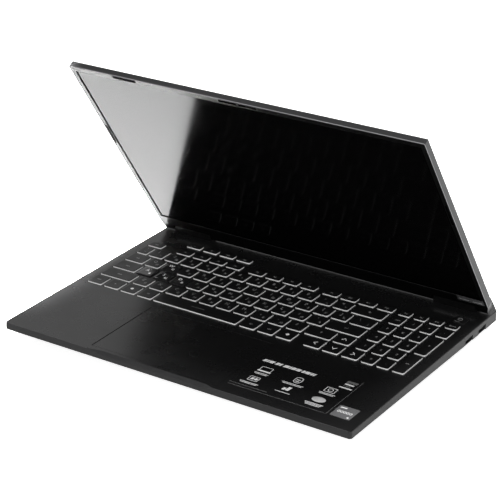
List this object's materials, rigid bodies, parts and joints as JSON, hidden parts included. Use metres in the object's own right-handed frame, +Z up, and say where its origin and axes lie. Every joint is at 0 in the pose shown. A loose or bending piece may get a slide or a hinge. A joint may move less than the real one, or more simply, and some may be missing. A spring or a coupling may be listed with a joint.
{
  "type": "laptop computer",
  "caption": "Clamshell laptop computer, lid part open: wide thin base with full keyboard, number pad and touchpad, large thin-bezel screen on rear hinges.",
  "frame": {"origin": "on the table, below the middle of the base", "axes": "+X to the user's right, -Y towards the user (front edge), +Z up"},
  "size_m": [0.354, 0.269, 0.2253],
  "materials": {
    "deck_plastic": "satin black, fine texture",
    "casing_plastic": "matt black",
    "lid_metal": "dark grey paint, satin",
    "bezel_plastic": "smooth black",
    "screen_glass": "dark gloss",
    "key_plastic": "black top with white side walls",
    "clear_key_plastic": "smoky clear",
    "foot_rubber": "matt",
    "label_film": "black film with white marks",
    "badge_foil": "silver grey foil",
    "light_guide": "grey",
    "socket_metal": "bright",
    "socket_plastic": "black",
    "hinge_steel": "dark steel",
    "screw_steel": "black oxide",
    "circuit_board": "green lacquer",
    "copper": "copper",
    "fin_metal": "plain",
    "fan_plastic": "black",
    "battery_wrap": "black film",
    "cable_sleeve": "black tape"
  },
  "bodies": {
    "base": {"top_case": "deck_plastic", "bottom_cover": "casing_plastic", "keyboard_frame": "deck_plastic", "keyboard_plate": "fin_metal", "spec_label": "label_film", "processor_badge": "badge_foil", "type_a_sockets": "socket_metal", "type_c_sockets": "socket_metal", "video_socket": "socket_metal", "network_socket": "socket_plastic", "power_inlet": "socket_plastic", "audio_socket": "socket_plastic", "rear_grilles": "casing_plastic", "front_feet": "foot_rubber", "rear_foot": "foot_rubber", "case_screws": "screw_steel", "hinge_bracket_left": "hinge_steel", "hinge_bracket_right": "hinge_steel", "hinge_pin_left": "hinge_steel", "hinge_pin_right": "hinge_steel", "hinge_cap_left": "casing_plastic", "hinge_cap_right": "casing_plastic", "mainboard": "circuit_board", "cold_plates": "copper", "heat_pipes": "copper", "cooling_fins": "fin_metal", "fan_housing_left": "casing_plastic", "fan_housing_right": "casing_plastic", "battery": "battery_wrap", "storage_card": "circuit_board", "memory_modules": "circuit_board", "wireless_card": "circuit_board", "speakers": "casing_plastic"},
    "lid": {"lid_cover": "lid_metal", "screen_bezel": "bezel_plastic", "display_panel": "screen_glass", "camera_module": "circuit_board", "camera_window": "screen_glass", "lid_bumpers": "foot_rubber", "indicator_strip": "light_guide", "hinge_leaves": "hinge_steel", "wifi_antennas": "copper", "display_cable": "cable_sleeve"},
    "escape_key": {"escape_key": "key_plastic"},
    "function_keys": {"function_keys": "key_plastic"},
    "shortcut_keys": {"shortcut_keys": "key_plastic"},
    "number_row_keys": {"number_row_keys": "key_plastic"},
    "tab_row_keys": {"tab_row_keys": "key_plastic"},
    "caps_row_keys": {"caps_row_keys": "key_plastic"},
    "shift_row_keys": {"shift_row_keys": "key_plastic"},
    "control_row_keys": {"control_row_keys": "key_plastic"},
    "clear_keys": {"clear_keys": "clear_key_plastic"},
    "space_bar": {"space_bar": "key_plastic"},
    "enter_key": {"enter_key": "key_plastic"},
    "arrow_keys": {"arrow_keys": "key_plastic"},
    "number_pad_keys": {"number_pad_keys": "key_plastic"},
    "power_button": {"power_button": "key_plastic"},
    "touchpad": {"touchpad": "deck_plastic"},
    "fan_rotor_left": {"fan_rotor_left": "fan_plastic"},
    "fan_rotor_right": {"fan_rotor_right": "fan_plastic"}
  },
  "joints": [
    {"name": "lid_hinge", "type": "hinge", "parent": "base", "child": "lid", "pos_m": [0, 0.1055, 0.023], "axis": [-1, 0, 0], "range_deg": [-57.5, 75]},
    {"name": "escape_key_press", "type": "slide", "parent": "base", "child": "escape_key", "axis": [0, 0, -1], "range_m": [0, 0.0015], "stiffness_N_per_m": 600, "springref_m": -0.0007},
    {"name": "function_keys_press", "type": "slide", "parent": "base", "child": "function_keys", "axis": [0, 0, -1], "range_m": [0, 0.0015], "stiffness_N_per_m": 600, "springref_m": -0.0007},
    {"name": "shortcut_keys_press", "type": "slide", "parent": "base", "child": "shortcut_keys", "axis": [0, 0, -1], "range_m": [0, 0.0015], "stiffness_N_per_m": 600, "springref_m": -0.0007},
    {"name": "number_row_keys_press", "type": "slide", "parent": "base", "child": "number_row_keys", "axis": [0, 0, -1], "range_m": [0, 0.0015], "stiffness_N_per_m": 600, "springref_m": -0.0007},
    {"name": "tab_row_keys_press", "type": "slide", "parent": "base", "child": "tab_row_keys", "axis": [0, 0, -1], "range_m": [0, 0.0015], "stiffness_N_per_m": 600, "springref_m": -0.0007},
    {"name": "caps_row_keys_press", "type": "slide", "parent": "base", "child": "caps_row_keys", "axis": [0, 0, -1], "range_m": [0, 0.0015], "stiffness_N_per_m": 600, "springref_m": -0.0007},
    {"name": "shift_row_keys_press", "type": "slide", "parent": "base", "child": "shift_row_keys", "axis": [0, 0, -1], "range_m": [0, 0.0015], "stiffness_N_per_m": 600, "springref_m": -0.0007},
    {"name": "control_row_keys_press", "type": "slide", "parent": "base", "child": "control_row_keys", "axis": [0, 0, -1], "range_m": [0, 0.0015], "stiffness_N_per_m": 600, "springref_m": -0.0007},
    {"name": "clear_keys_press", "type": "slide", "parent": "base", "child": "clear_keys", "axis": [0, 0, -1], "range_m": [0, 0.0015], "stiffness_N_per_m": 600, "springref_m": -0.0007},
    {"name": "space_bar_press", "type": "slide", "parent": "base", "child": "space_bar", "axis": [0, 0, -1], "range_m": [0, 0.0015], "stiffness_N_per_m": 600, "springref_m": -0.0007},
    {"name": "enter_key_press", "type": "slide", "parent": "base", "child": "enter_key", "axis": [0, 0, -1], "range_m": [0, 0.0015], "stiffness_N_per_m": 600, "springref_m": -0.0007},
    {"name": "arrow_keys_press", "type": "slide", "parent": "base", "child": "arrow_keys", "axis": [0, 0, -1], "range_m": [0, 0.0015], "stiffness_N_per_m": 600, "springref_m": -0.0007},
    {"name": "number_pad_keys_press", "type": "slide", "parent": "base", "child": "number_pad_keys", "axis": [0, 0, -1], "range_m": [0, 0.0015], "stiffness_N_per_m": 600, "springref_m": -0.0007},
    {"name": "power_button_press", "type": "slide", "parent": "base", "child": "power_button", "axis": [0, 0, -1], "range_m": [0, 0.0006], "stiffness_N_per_m": 900, "springref_m": -0.0005},
    {"name": "touchpad_click", "type": "hinge", "parent": "base", "child": "touchpad", "pos_m": [-0.02, -0.0432, 0.0165], "axis": [1, 0, 0], "range_deg": [0, 0.3], "stiffness_Nm_per_rad": 10, "springref_deg": -0.57},
    {"name": "fan_left_spin", "type": "hinge", "parent": "base", "child": "fan_rotor_left", "pos_m": [-0.112, 0.0695, 0.007], "axis": [0, 0, 1], "continuous": true},
    {"name": "fan_right_spin", "type": "hinge", "parent": "base", "child": "fan_rotor_right", "pos_m": [0.112, 0.0695, 0.007], "axis": [0, 0, 1], "continuous": true}
  ]
}
